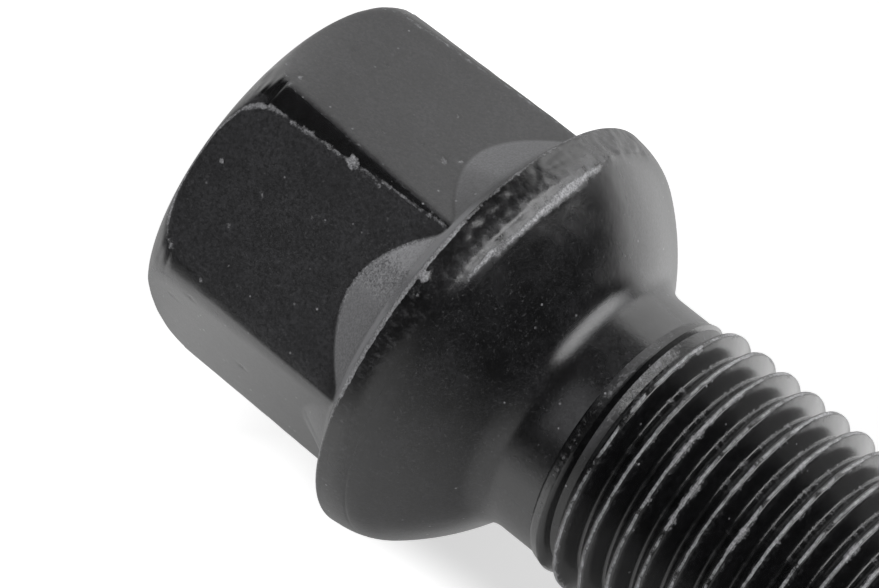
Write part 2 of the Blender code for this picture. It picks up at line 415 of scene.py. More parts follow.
def hexagon_surfaces(head, at, place, turn):
    """The radii of the surfaces that meet above the rim, at a place's height and turn."""
    near = SimpleNamespace()
    near.number = round(turn / (pi / 3)) % 6
    near.off = (turn + pi / 6) % (pi / 3) - pi / 6
    near.corner = (near.number if near.off > 0 else near.number - 1) % 6
    near.wrinkle = noise.noise((turn * FOLDS_PER_RADIAN, place.z / FOLD_PITCH, 0.0))
    near.folds = ramp(abs(near.off), *FOLD_ANGLES) * (1 - ramp(place.z, *FOLD_HEIGHTS))
    near.folds *= 1.0 if near.corner == FOLDED_CORNER else 0.3
    near.flat = at.flat / cos(near.off)
    grit = noise.noise(place / GRIT_SIZES[0]) * 0.6 + noise.noise(place / GRIT_SIZES[1]) * 0.7
    near.crown = crown_at(head, at, place.z)
    near.crown += GRIT_DEPTH * grit * ramp(place.z, *mm(0.05, 0.6))
    near.crown += FOLD_DEPTH * near.folds * near.wrinkle * ramp(place.z, *mm(0.03, 0.25))
    rounding = 1 + (CORNER_ROUNDING[near.corner] - 1) * ramp(abs(near.off), *OWN_ROUNDING)
    near.hexagon = smooth_lower(near.flat, near.crown, head.edge_width * rounding)
    near.arch = at.knee + (place.z - at.knee_z) * tan(head.arch_slope)
    near.ledge = at.knee + (place.z - at.knee_z) * tan(head.rim_slope)
    near.collar = smooth_upper(near.arch, near.ledge, KNEE_ROUNDING)
    near.outside = smooth_upper(near.hexagon, near.collar, COLLAR_ROUNDING)
    return near


def hexagon_finish_and_light(near, z, aside, rim_worn):
    """The wear, soot, scuff and polish above the rim, with painted glint, shade and light among them."""
    anticlockwise = near.off > 0

    # Bare steel along the crown line and upright edges, the seams of the arches and the folds, and a painted
    # glint drawn as bare steel on an arch
    edge = max(1 - abs(near.flat - near.crown) / EDGE_WEAR, 0.0)
    edge *= ramp(near.hexagon - near.collar, *mm(0.0, 0.15))
    near_top = 1 - ramp(z, *mm(1.5, 3.2))
    level = CROWN_WEAR[near.number] * near_top + CORNER_WEAR[near.number][anticlockwise] * (1 - near_top)
    if near.number == FRONT_FLAT:
        level *= 1 - 0.55 * ramp(aside, *LESS_WORN)
    seam = 1 - ramp(abs(near.collar - near.hexagon), *mm(0.02, 0.09))
    folded = 0.3 * near.folds * (1 + near.wrinkle) * (1 - ramp(z, *mm(0.5, 1.5)))
    on_collar = ramp(near.collar - near.hexagon, *mm(-0.05, 0.06))
    arch_glint = 0.66 * span(aside, *ARCH_GLINT) * on_collar
    wear_and_highlight = max(edge * level, seam * 0.62 * span(aside, *SEAM_WORN), rim_worn, folded, arch_glint)

    # Painted shade, drawn as soot black, on the faces that the crown cuts off the corners
    reach = SHADE_REACH[anticlockwise]
    from_corner = pi / 6 - abs(near.off)
    beside = 1 - ramp(from_corner, reach, reach + SHADE_FADE) * (1 - ramp(z, *mm(1.2, 1.9)))
    on_corner = ramp(near.flat - near.crown, *mm(-0.03, 0.08)) * ramp(z, *mm(0.0, 0.6)) * beside
    soot_and_shade = CORNER_SHADE[near.corner] * on_corner * ramp(near.hexagon - near.collar, *mm(-0.05, 0.1))

    # Arches drawn lighter grey, painted light on the shaded ledge, and the front flat a little lighter
    plain, more, stretch = ARCH_LIGHTENING.get(near.number, PLAIN_ARCH)
    level = plain + more * span(aside, *stretch)
    on_ledge = ramp(near.ledge - near.arch, *mm(-0.1, 0.15)) * span(aside, *LEDGE_LIT_STRETCH)
    level += (LEDGE_LIGHTENING - level) * on_ledge
    on_flat = ramp(near.crown - near.flat, *mm(-0.02, 0.06)) if near.number == FRONT_FLAT else 0.0
    polish_and_sheen = max(level * on_collar, FRONT_FLAT_LIGHTENING * on_flat)
    return wear_and_highlight, soot_and_shade, 0.0, polish_and_sheen


# Stretches aside below the rim, where each sets in, is full, fades and ends: the struck band with its painted
# highlight, the creased band, the broad part of the ridge's painted highlight, the seat's painted shade, the
# painted sheen on the fillet and neck, the worn end of the neck with its painted highlight, and where the
# band meets the seat in a sharp edge
STRUCK_AND_HIGHLIT = (-64.0, -52.0, -14.0, 1.0)
CREASED = (-92.0, -80.0, -60.0, -50.0)
BROAD_RIDGE = (-52.0, -44.0, -38.0, -26.0)
SHADED_SEAT = (-68.0, -59.0, 30.0, 80.0)
FILLET_SHEEN = (-60.0, -48.0, -20.0, -2.0)
NECK_SHEEN = (-14.0, 1.0, 9.0, 24.0)
WORN_AND_HIGHLIT_NECK_END = (-50.0, -40.0, -10.0, 5.0)
SHARP_SEAT_EDGE = (-75.0, -60.0, 0.0, 25.0)

# Heights of the creases and of the painted sheen on the fillet and on the neck
CREASE_HEIGHTS = mm(14.5, 15.0)
FILLET_HEIGHTS = mm(18.65, 18.9, 19.3, 19.65)
NECK_HEIGHTS = mm(19.8, 20.8)

# The ridge and its painted highlight lie this far on the tip's side of the band's foot in their middle. They
# come nearer by the drop at their reach, in degrees from their middle.
RIDGE_OFFSET, RIDGE_DROP = mm(0.5, 0.3)
RIDGE_MIDDLE = -31.0
RIDGE_REACH = 27.0

# The painted sheen beside the ridge by its distance from it, and its patches round the axis and along it
RIDGE_SHEEN = mm(-1.15, -0.05, 0.05, 0.3)
PATCHES_PER_RADIAN = 30.0
PATCH_HEIGHT = 0.8 * MM

# Depths of the hollow above the ridge, of its creases and lumps, and the ridge's own height
DENT_DEPTH, CREASE_DEPTH, LUMP_DEPTH, RIDGE_HEIGHT = mm(0.04, 0.09, 0.045, 0.03)
LUMPS_PER_RADIAN = 26.0
LUMP_LENGTH = 0.45 * MM

# The widest rounding between the band and the seat
SOFT_SEAT_EDGE = 0.5 * MM


def collar_parts(at, z, aside):
    """How much a place below the rim belongs to the struck and creased band and to the ridge, where highlight
    is painted.
    """
    near = SimpleNamespace()
    bow = min(((aside - RIDGE_MIDDLE) / RIDGE_REACH) ** 2, 1.5)
    near.ridge_z = at.band_foot_z + RIDGE_OFFSET - RIDGE_DROP * bow
    near.from_ridge = z - near.ridge_z
    near.struck = span(aside, *STRUCK_AND_HIGHLIT)
    near.creased = span(aside, *CREASED) * (1 - ramp(z, *CREASE_HEIGHTS))
    near.on_band = 1 - ramp(near.from_ridge, *mm(-0.15, 0.1))
    half_width = (0.2 + 0.16 * span(aside, *BROAD_RIDGE)) * MM
    near.ridge = near.struck * (1 - ramp(abs(near.from_ridge), 0.03 * MM, half_width))
    return near


def collar_finish_and_light(near, at, place, turn, aside, rim_worn):
    """The wear, soot, scuff and polish below the rim, with painted highlight, sheen and shade among them."""
    z = place.z
    neck_end = 1 - ramp(abs(z - at.neck_end_z), *mm(0.05, 0.18))
    # Wear at the rim and the neck's end, the end brighter as painted highlight, and the ridge's painted
    # highlight drawn as bare steel
    wear_and_highlight = max(rim_worn, near.ridge * 0.95, neck_end * (0.3 + 0.3 * span(aside, *WORN_AND_HIGHLIT_NECK_END)))
    cloudy = 0.9 + 0.5 * noise.noise(place / (1.7 * MM)) + 0.3 * noise.noise(place / (0.6 * MM))
    # Painted shade, drawn as soot black, over the ball seat
    soot_and_shade = min(span(aside, *SHADED_SEAT) * (cloudy * 0.85 + 0.2 * near.on_band), 1.0)
    # Scuffs on the band, drawn lighter towards the ridge as painted highlight
    lighter_toward_highlight = near.struck * ramp(z, at.rim_z + 0.7 * MM, near.ridge_z + 0.2 * MM)
    scuff_and_highlight = near.on_band * (0.12 + 0.3 * max(lighter_toward_highlight, near.creased))
    # Painted sheen beside the ridge, on the fillet and on the neck, drawn as rubbed coat
    patches = 0.8 + 1.3 * noise.noise((turn * PATCHES_PER_RADIAN, z / PATCH_HEIGHT, 4.0))
    ridge_sheen = near.struck * span(near.from_ridge, *RIDGE_SHEEN) * max(patches, 0.15)
    fillet = span(aside, *FILLET_SHEEN) * span(z, *FILLET_HEIGHTS)
    neck = span(aside, *NECK_SHEEN) * ramp(z, *NECK_HEIGHTS)
    polish_and_sheen = 0.14 * fillet + 0.16 * neck + 0.36 * ridge_sheen * cloudy
    return wear_and_highlight, soot_and_shade, scuff_and_highlight, polish_and_sheen


def collar_depth(near, head, at, place, turn, aside):
    """How deep the surface below the rim is knocked in at a place."""
    z = place.z
    hollow = span(z, at.rim_z + 0.1 * MM, near.ridge_z - 0.15 * MM, near.ridge_z - 0.12 * MM, near.ridge_z)
    dent = DENT_DEPTH * near.struck * hollow
    folds = noise.noise(place / (0.5 * MM)) * ramp(z, at.rim_z, at.rim_z + 0.3 * MM)
    lumps = noise.noise((turn * LUMPS_PER_RADIAN, z / LUMP_LENGTH, 7.0))
    lump = LUMP_DEPTH * near.struck * near.on_band * lumps
    band = at.rim + (z - at.rim_z) * (at.band_foot - at.rim) / (at.band_foot_z - at.rim_z)
    seat = sqrt(max(head.seat_radius**2 - (z - at.seat_z) ** 2, 0.0))
    rounding = SOFT_SEAT_EDGE * (1.001 - span(aside, *SHARP_SEAT_EDGE))
    eased = min(band, seat) - smooth_lower(band, seat, rounding)
    return dent + CREASE_DEPTH * near.creased * folds + lump + eased - RIDGE_HEIGHT * near.ridge


def shape_head(solid, head, at, rim_start):
    """Pull the turned outline in to the hexagon and its crown, dent it, and note each point's finish and
    painted light.
    """
    layers = [solid.verts.layers.float.new(name) for name in FINISH_LAYERS]
    for point in solid.verts:
        place = point.co.copy()
        radius, turn, aside = round_axis(place)
        if place.z < SAME and radius < 0.95 * at.top:
            continue
        rim_edge = 1 - ramp(abs(place.z - at.rim_z - 0.03 * MM), *mm(0.04, 0.21))
        rim_worn = rim_edge * (0.45 + 0.8 * span(aside, *RIM_WORN))
        if place.z < rim_start - SAME:
            near = hexagon_surfaces(head, at, place, turn)
            finish = hexagon_finish_and_light(near, place.z, aside, rim_worn)
            point.co.xy *= near.outside / radius
        else:
            near = collar_parts(at, place.z, aside)
            finish = collar_finish_and_light(near, at, place, turn, aside, rim_worn)
            point.co.xy *= 1 - collar_depth(near, head, at, place, turn, aside) / max(radius, MM)
        for layer, level in zip(layers, finish):
            point[layer] = level


# Single marks: angle round the axis in degrees, height and size in mm, depth in mm (below 0 a burr that
# stands out), wear and soot
HEAD_MARKS = (
    (-75.3, 13.35, 0.42, -0.07, 1.1, 0.0),
    (-71.5, 13.55, 0.3, 0.08, 0.3, 0.9),
    (-88.0, 6.6, 0.45, 0.03, 0.75, 0.0),
    (-87.2, 8.4, 0.2, 0.02, 0.7, 0.0),
    (-65.0, 1.35, 0.2, 0.03, 0.85, 0.0),
    (-64.5, 3.9, 0.14, 0.02, 0.8, 0.0),
    (-14.3, 2.0, 0.3, 0.05, 0.0, 0.9),
    (-24.1, 3.3, 0.24, 0.05, 0.3, 0.9),
    (0.4, 6.0, 0.3, 0.05, 0.2, 0.8),
    (-98.6, 1.8, 0.26, 0.04, 0.6, 0.1),
    (-121.1, 2.0, 0.24, 0.03, 0.0, 0.8),
    (-125.4, 3.6, 0.22, 0.03, 0.0, 0.7),
    (-121.4, 3.3, 0.2, 0.02, 0.5, 0.0),
    (-101.8, 6.4, 0.2, 0.03, 0.6, 0.0),
    (-126.5, 7.8, 0.2, 0.02, 0.6, 0.0),
    (-107.8, 9.3, 0.32, 0.04, 0.55, 0.3),
    (-112.2, 9.8, 0.2, 0.02, 0.65, 0.0),
    (-107.4, 8.0, 0.2, 0.03, 0.0, 0.7),
    (-68.6, 6.4, 0.2, 0.02, 0.7, 0.0),
    (-50.4, 3.4, 0.2, 0.02, 0.6, 0.0),
    (-79.1, 6.1, 0.22, 0.02, 0.6, 0.0),
    (-81.6, 9.5, 0.2, 0.02, 0.7, 0.0),
    (-57.2, 8.4, 0.2, 0.02, 0.75, 0.0),
    (-32.9, 3.6, 0.22, 0.02, 0.6, 0.0),
    (-41.3, 4.4, 0.26, 0.03, 0.4, 0.2),
    (58.0, 4.4, 0.3, 0.05, 0.6, 0.5),
    (112.0, 8.2, 0.35, 0.05, 0.7, 0.2),
    (176.0, 3.1, 0.25, 0.04, 0.5, 0.6),
    (91.0, 5.2, 0.4, 0.03, 0.9, 0.0),
    (40.0, 13.3, 0.4, 0.06, 1.0, 0.0),
    (150.0, 13.2, 0.35, 0.05, 1.0, 0.0),
)

# No mark reaches further in than this, and their outlines are ragged at this size
UNMARKED_RADIUS = 5 * MM
RAGGED_SIZE = 0.3 * MM


def mark_head(solid):
    """Press the nicks, burrs and pits of the photographed bolt into the surface and note their finish."""
    wear_and_highlight, soot_and_shade = (solid.verts.layers.float[name] for name in ("wear_and_highlight", "soot_and_shade"))
    for point in solid.verts:
        radius, turn, _ = round_axis(point.co)
        if radius < UNMARKED_RADIUS:
            continue
        for mark_turn, mark_z, size, depth, worn, soot_and_shade_amount in HEAD_MARKS:
            height = point.co.z - mark_z * MM
            if abs(height) > 2 * size * MM:
                continue
            across = radius * turn_between(turn, radians(mark_turn))
            ragged = 1 + 0.45 * noise.noise(point.co / RAGGED_SIZE)
            near = 1 - ramp(hypot(across, height) * ragged, 0.25 * size * MM, size * MM)
            if near > 0:
                point[wear_and_highlight] = max(point[wear_and_highlight], near * worn)
                point[soot_and_shade] = max(point[soot_and_shade], near * soot_and_shade_amount)
                point.co.xy *= 1 - depth * near * ragged * MM / radius


# Roundings of the thread's roots and crests, the row along a flank, how far the crest bulges in its
# middle, and how worn its rounded edges are before roughen_thread breaks the wear up
ROOT_ROUNDING, CREST_ROUNDING, FLANK_ROW, CREST_BULGE = mm(0.16, 0.09, 0.3, 0.012)
CREST_EDGE_WEAR = 0.36


def thread_section(thread, at):
    """One pitch of the thread's outline as (radius, z, wear) points: root, flank, rounded crest, flank."""
    half_crest = thread.crest_share * thread.pitch / 2
    half_ridge = half_crest + (at.crest - at.root) * tan(thread.flank_angle)
    root_edge = (at.root, -half_ridge)
    crest_edge = (at.crest, -half_crest)
    root = rounded_corner((at.root, -thread.pitch), root_edge, crest_edge, ROOT_ROUNDING, ROOT_STEP)
    crest = rounded_corner(root_edge, crest_edge, (at.crest, 0.0), CREST_ROUNDING, CREST_STEP)
    rising = [(radius, z, 0.0) for radius, z in root + between(root[-1], crest[0], FLANK_ROW)]
    rising += [(radius, z, CREST_EDGE_WEAR) for radius, z in crest]
    top = [(at.crest + CREST_BULGE, half_crest * side, 1.0) for side in (-0.4, 0.4)]
    falling = [(radius, -z, worn) for radius, z, worn in reversed(rising)]
    last_radius, last_z, _ = falling[-1]
    return [(last_radius, last_z - thread.pitch, 0.0)] + rising + top + falling


def swept_thread(thread, at, first_z, last_z):
    """The open helical surface of the thread, one outline carried round and up by a spin."""
    solid = bmesh.new()
    wear_and_highlight, soot_and_shade, _, _ = (solid.verts.layers.float.new(name) for name in FINISH_LAYERS)
    start = Matrix.Rotation(thread.start_angle, 3, "Z")
    corners = []
    for radius, z, worn in thread_section(thread, at):
        corner = solid.verts.new(start @ Vector((radius, 0.0, first_z + z)))
        corner[wear_and_highlight] = worn
        corner[soot_and_shade] = 1.0
        corners.append(corner)
    turns = ceil((last_z - first_z) / thread.pitch)
    spun(solid, corners, 2 * pi, thread.pitch, THREAD_STEPS, turns)
    return solid


# How deep the crests are battered and how far they waver, the size of the wavers, and how far the painted
# highlight lines lie from the roots
BATTER_DEPTH, WAVER, WAVER_SIZE = mm(0.035, 0.07, 0.7)
ROOT_HIGHLIGHT_LINES = mm(0.02, 0.09)
# The stretch aside where the painted highlight lines by the roots are brightest
ROOT_HIGHLIGHT_STRETCH = (-95.0, -80.0, -30.0, 5.0)


def roughen_thread(solid, at):
    """Waver and batter the crests as rolling and use do, and paint thin highlight lines by the roots."""
    wear_and_highlight, scuff_and_highlight = (solid.verts.layers.float[name] for name in ("wear_and_highlight", "scuff_and_highlight"))
    for point in solid.verts:
        radius, _, aside = round_axis(point.co)
        grit = noise.noise(point.co / (0.5 * MM)) + 0.8 * noise.noise(point.co / (1.9 * MM))
        shift = noise.noise(point.co / WAVER_SIZE + Vector((7.0, 3.0, 5.0)))
        patch = ramp(noise.noise(point.co / (1.6 * MM) + Vector((2.0, 9.0, 4.0))), 0.2, 0.5)
        crest = point[wear_and_highlight]
        # Painted highlight lines by the roots, noted as scuffs, brightest on the lit stretch
        by_root = 1 - ramp(radius - at.root, *ROOT_HIGHLIGHT_LINES)
        point[scuff_and_highlight] = by_root * (0.15 + 0.75 * span(aside, *ROOT_HIGHLIGHT_STRETCH)) + 0.5 * crest
        point[wear_and_highlight] = min(crest * (0.66 + 0.6 * shift + 0.6 * patch), 1.2)
        point.co.xy *= 1 - BATTER_DEPTH * max(grit, 0.0) * crest / radius
        point.co.z += WAVER * shift * crest


# Rounding where the run-out and the chamfer cut the crests, and the stretch aside where the cut crests carry
# a painted highlight
CUT_ROUNDING = 0.06 * MM
RUN_OUT_HIGHLIGHT = (-50.0, -38.0, -14.0, 2.0)


def trim_thread(solid, thread, at):
    """Draw the crests in at the run-out cone by the neck and at the chamfer of the tip."""
    wear_and_highlight, polish_and_sheen = (solid.verts.layers.float[name] for name in ("wear_and_highlight", "polish_and_sheen"))
    inside_neck = at.neck - OVERLAP
    cone_z = at.run_out_z - OVERLAP / tan(thread.run_out_slope)
    for point in solid.verts:
        radius, _, aside = round_axis(point.co)
        run_out = max(inside_neck, inside_neck + (point.co.z - cone_z) * tan(thread.run_out_slope))
        chamfer = at.crest - thread.tip_chamfer + at.tip_z - point.co.z
        new_radius = smooth_lower(smooth_lower(radius, run_out, CUT_ROUNDING), chamfer, CUT_ROUNDING)
        cut = ramp(radius - new_radius, *mm(0.02, 0.15))
        # The cut crests are drawn a little worn, and brighter and sheened on the lit stretch by the neck as
        # painted highlight
        lit_near_neck = span(aside, *RUN_OUT_HIGHLIGHT) * (1 - ramp(point.co.z, at.run_out_z, at.tip_z))
        point[wear_and_highlight] = point[wear_and_highlight] * (1 - cut) + (0.14 + 0.2 * lit_near_neck) * cut
        point[polish_and_sheen] = 0.14 * lit_near_neck * cut
        point.co.xy *= new_radius / radius


def finished(name, solid):
    """An object made of a finished mesh, riding on the bolt and standing for its solid."""
    bmesh.ops.recalc_face_normals(solid, faces=solid.faces)
    mesh = bpy.data.meshes.new(name)
    solid.to_mesh(mesh)
    solid.free()
    mesh.shade_smooth()
    mesh.set_sharp_from_angle(angle=radians(50.0))
    piece = bpy.data.objects.new(name, mesh)
    bpy.context.scene.collection.objects.link(piece)
    mesh.materials.append(black_oxide_steel())
    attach(piece, "root")
    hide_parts("wheel_bolt")
    return piece


# Kinds of node that the materials use most
MATH = "ShaderNodeMath"
VECTOR_MATH = "ShaderNodeVectorMath"
RANGE = "ShaderNodeMapRange"
MIX = "ShaderNodeMix"


def add_node(tree, kind, inputs=(), **values):
    """Add a node, set its properties, then its inputs, given by name or else in their order.

    An input is given a value, a socket, or a node whose first output in use feeds it.
    """
    node = tree.nodes.new(kind)
    for name, value in values.items():
        setattr(node, name, value)
    if isinstance(inputs, dict):
        given = [(node.inputs[name], value) for name, value in inputs.items()]
    else:
        given = zip([socket for socket in node.inputs if socket.enabled], inputs)
    for socket, value in given:
        if isinstance(value, bpy.types.Node):
            value = next(output for output in value.outputs if output.enabled)
        if isinstance(value, bpy.types.NodeSocket):
            tree.links.new(value, socket)
        else:
            socket.default_value = value
    return node


def times(rgb, factor=1.0):
    """A colour made lighter or darker, with full alpha."""
    return (*(channel * factor for channel in rgb), 1.0)


# Noise patterns of the steel as (size of a cell in mm, detail, roughness): forging waves, clouds in the
# coat, rub marks, sand, speckle and grain. The last three stand for finer grain, which wouldn't show.
STEEL_PATTERNS = (
    (1.3, 3.0, 0.5),
    (1.6, 5.0, 0.7),
    (0.32, 7.0, 0.72),
    (0.16, 4.0, 0.85),
    (0.1, 2.0, 0.7),
    (0.17, 3.0, 0.8),
)

# Streaks of scuffs: their width in mm and how many times as long they are. Cells of the dust in mm, and
# how deep the relief of the coat is.
STREAK_SIZE = 0.25
STREAK_STRETCH = 1.8
DUST_CELL = 0.8
RELIEF_DEPTH = 0.03 * MM

# The coat is magnetite, which has 2.4, and the oil that it holds lowers that a little
OXIDE_IOR = 2.2


def black_oxide_steel():
    """Forged steel blackened in a hot bath, rubbed to bare grey steel at its edges, with painted light and
    shade.
    """
    name = "black_oxide_forged_steel"
    if name in bpy.data.materials:
        return bpy.data.materials[name]
    finish = settings()[2]
    material = bpy.data.materials.new(name)
    material.use_nodes = True
    tree = material.node_tree
    tree.nodes.clear()
    smooth = {"interpolation_type": "SMOOTHSTEP"}

    # The bath leaves a thin oxide skin on the forged surface. To the eye it is a satin, finely grained
    # black, cloudy and dusty, that turns to rough grey metal wherever the skin is rubbed through.
    place = add_node(tree, "ShaderNodeTexCoord").outputs["Object"]
    worn, soot_and_shade_amount, scuffed_and_highlit, polish_and_sheen_amount = (
        add_node(tree, "ShaderNodeAttribute", attribute_name=layer).outputs["Fac"] for layer in FINISH_LAYERS
    )
    waves, clouds, rubs, sand, speckle, grain = (
        add_node(
            tree,
            "ShaderNodeTexNoise",
            {"Vector": place, "Scale": 1 / (size * MM), "Detail": detail, "Roughness": roughness},
        )
        for size, detail, roughness in STEEL_PATTERNS
    )
    stretch = (1.0, 1.0, 1 / STREAK_STRETCH)
    stretched = add_node(tree, "ShaderNodeMapping", {"Vector": place, "Scale": stretch})
    streaks = add_node(
        tree,
        "ShaderNodeTexNoise",
        {"Vector": stretched, "Scale": 1 / (STREAK_SIZE * MM), "Detail": 6.0, "Roughness": 0.75},
    )

    # Bare steel: the piece's own wear and the painted highlights in the wear layer, broken up by the rub
    # marks
    broken = add_node(tree, MATH, (rubs, 1.5, -0.75), operation="MULTIPLY_ADD")
    bare_and_highlight_level = add_node(tree, MATH, (worn, broken), operation="ADD")
    bare_and_highlight = add_node(tree, RANGE, (bare_and_highlight_level, 0.32, 0.8), **smooth)
    steel_speckle = add_node(tree, RANGE, (speckle, 0.3, 0.7), **smooth)
    dull_steel = times(finish.bare_steel, 0.55)
    bright_steel = times(finish.bare_steel, 1.5)
    steel = add_node(tree, MIX, (steel_speckle, dull_steel, bright_steel), data_type="RGBA")

    # The coat in the open: cloudy, with a dark sandy grain
    cloudy = add_node(tree, RANGE, (clouds, 0.35, 0.65), **smooth)
    dark_coat = times(finish.coating, 1.05)
    light_coat = times(finish.coating, 1.8)
    open_coat = add_node(tree, MIX, (cloudy, dark_coat, light_coat), data_type="RGBA")
    grainy = add_node(tree, RANGE, (grain, 0.36, 0.62), **smooth)
    sanded = add_node(tree, MIX, (grainy, times(finish.coating, 0.4), open_coat), data_type="RGBA")

    # Soot black where the soot layer is high: the thread's black, dark marks, and painted shade on the corner
    # faces and the seat. Light specks fade out on it.
    soot_and_shade_patches = add_node(tree, RANGE, (rubs, 0.25, 0.6, 0.6, 1.0), **smooth)
    soot_and_shade_mix = add_node(tree, MATH, (soot_and_shade_amount, soot_and_shade_patches), operation="MULTIPLY")
    sooted_and_shaded = add_node(tree, MIX, (soot_and_shade_mix, sanded, times(finish.soot_and_shade)), data_type="RGBA")
    sand_level = add_node(tree, RANGE, (sand, 0.54, 0.7, 0.0, 0.35), **smooth)
    off_soot_and_shade = add_node(tree, RANGE, (soot_and_shade_amount, 0.9, 1.0, 1.0, 0.2), **smooth)
    specks = add_node(tree, MATH, (sand_level, off_soot_and_shade), operation="MULTIPLY")
    coat = add_node(tree, MIX, (specks, sooted_and_shaded, times(finish.bare_steel, 0.4)), data_type="RGBA")

    # Coat rubbed grey and painted sheen drawn the same way, then streaks of scuffs and painted highlight
    # lines
    rub_speckle = add_node(tree, RANGE, (speckle, 0.3, 0.72, 0.62, 1.0), **smooth)
    rubbed_and_sheen = add_node(tree, MATH, (polish_and_sheen_amount, rub_speckle), operation="MULTIPLY")
    rubbed_and_sheen_coat = add_node(tree, MIX, (rubbed_and_sheen, coat, times(finish.bare_steel, 0.95)), data_type="RGBA")
    streaky = add_node(tree, RANGE, (streaks, 0.48, 0.68), **smooth)
    scuffs_and_highlights = add_node(tree, MATH, (streaky, scuffed_and_highlit), operation="MULTIPLY")
    scuff_and_highlight_steel = times(finish.bare_steel, 0.65)
    scuffed_and_highlit_coat = add_node(tree, MIX, (scuffs_and_highlights, rubbed_and_sheen_coat, scuff_and_highlight_steel), data_type="RGBA")

    # Dust: a light speck of about 0.1 mm in four cells out of five, and in one out of four on the soot and
    # the painted shade
    cell = add_node(tree, "ShaderNodeTexVoronoi", {"Vector": place, "Scale": 1 / (DUST_CELL * MM)})
    speck = add_node(tree, RANGE, (cell.outputs["Distance"], 0.09, 0.05))
    chance = add_node(tree, "ShaderNodeSeparateColor", {"Color": cell.outputs["Color"]})
    bar = add_node(tree, RANGE, (soot_and_shade_amount, 0.2, 0.9, 0.2, 0.75), **smooth)
    chosen = add_node(tree, MATH, (chance.outputs["Red"], bar), operation="GREATER_THAN")
    brightness = add_node(tree, RANGE, (chance.outputs["Green"], 0.0, 1.0, 0.4, 1.0), **smooth)
    dust_level = add_node(tree, MATH, (chosen, brightness), operation="MULTIPLY")
    dust = add_node(tree, MATH, (speck, dust_level), operation="MULTIPLY")
    dusty = add_node(tree, MIX, (dust, scuffed_and_highlit_coat, times(finish.bare_steel, 0.8)), data_type="RGBA")
    colours = add_node(tree, MIX, (bare_and_highlight, dusty, steel), data_type="RGBA")

    # Worn places keep some coat, so they are partly metallic. Soot and painted shade are smoother than the
    # open coat, and rubbed coat, painted sheen and steel are rougher.
    metallic = add_node(tree, MATH, (bare_and_highlight, 0.35), operation="MULTIPLY")
    coat_roughness = add_node(tree, RANGE, (soot_and_shade_amount, 0.0, 1.0, 0.34, 0.22), **smooth)
    rubbed_roughness = add_node(tree, MATH, (polish_and_sheen_amount, 0.45, coat_roughness), operation="MULTIPLY_ADD")
    roughness = add_node(tree, RANGE, (bare_and_highlight, 0.0, 1.0, rubbed_roughness, 0.45))

    # Relief: waves under a grain that is lower on the soot and painted shade, with scuffs and rub marks in it
    grain_height = add_node(tree, RANGE, (soot_and_shade_amount, 0.2, 1.0, 0.35, 0.18), **smooth)
    low_waves = add_node(tree, MATH, (waves, 0.5), operation="MULTIPLY")
    forged_height = add_node(tree, MATH, (grain, grain_height, low_waves), operation="MULTIPLY_ADD")
    rub_height = add_node(tree, MATH, (rubs, 1.2), operation="MULTIPLY")
    bare_height = add_node(tree, MATH, (bare_and_highlight, rub_height), operation="MULTIPLY")
    mark_height = add_node(tree, MATH, (scuffs_and_highlights, 0.5, bare_height), operation="MULTIPLY_ADD")
    height = add_node(tree, MATH, (forged_height, mark_height), operation="ADD")
    relief = add_node(tree, "ShaderNodeBump", {"Height": height, "Strength": 1.0, "Distance": RELIEF_DEPTH})
    shader = add_node(
        tree,
        "ShaderNodeBsdfPrincipled",
        {
            "Base Color": colours,
            "Metallic": metallic,
            "Roughness": roughness,
            "IOR": OXIDE_IOR,
            "Normal": relief,
        },
    )
    add_node(tree, "ShaderNodeOutputMaterial", {"Surface": shader})
    return material


# Where the painted black flag lies in the paper's reflections, and the cosines between which its painted
# shade sets in
PAINTED_FLAG_ASIDE = -8.0
PAINTED_FLAG_COSINES = (-0.05, 0.6)

# Parts of the paper: a direction aside, and how far that way from the axis the part starts and is full, in mm
PAPER_PARTS = {
    "before the bolt": (12.0, 7.8, 9.0),
    "left half": (90.0, -11.0, -3.0),
    "far behind": (-123.0, 35.0, 60.0),
    "past the left": (90.0, 9.5, 13.5),
    "not behind": (0.0, -26.0, -8.0),
    "past the right": (-90.0, -4.0, 10.0),
    "not far behind": (0.0, -50.0, -24.0),
}


